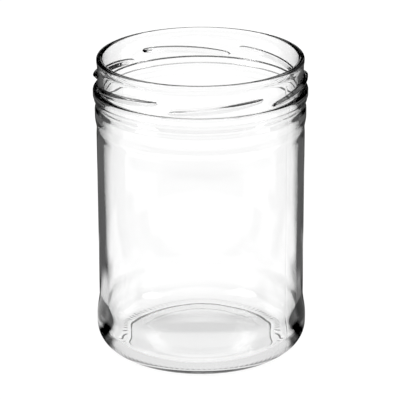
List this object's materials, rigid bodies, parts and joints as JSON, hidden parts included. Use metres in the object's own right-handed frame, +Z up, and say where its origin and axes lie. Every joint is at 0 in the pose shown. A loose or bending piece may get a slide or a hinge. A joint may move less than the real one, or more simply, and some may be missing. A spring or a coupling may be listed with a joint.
{
  "type": "twist-off glass jar",
  "caption": "Empty straight-sided clear glass jar with a recessed label panel, a push-up base and a lugged twist-off mouth.",
  "frame": {"origin": "centre of the bearing ring, on the surface the jar stands on", "axes": "+Z up along the jar's axis, through the middle of the mouth; -Y towards the front, where one lug of the finish runs past the middle"},
  "size_m": [0.1, 0.1, 0.1426],
  "materials": {
    "clear_glass": "clear flint soda-lime glass, fire-polished, smooth and glossy"
  },
  "bodies": {
    "root": {"jar": "clear_glass"}
  },
  "joints": []
}
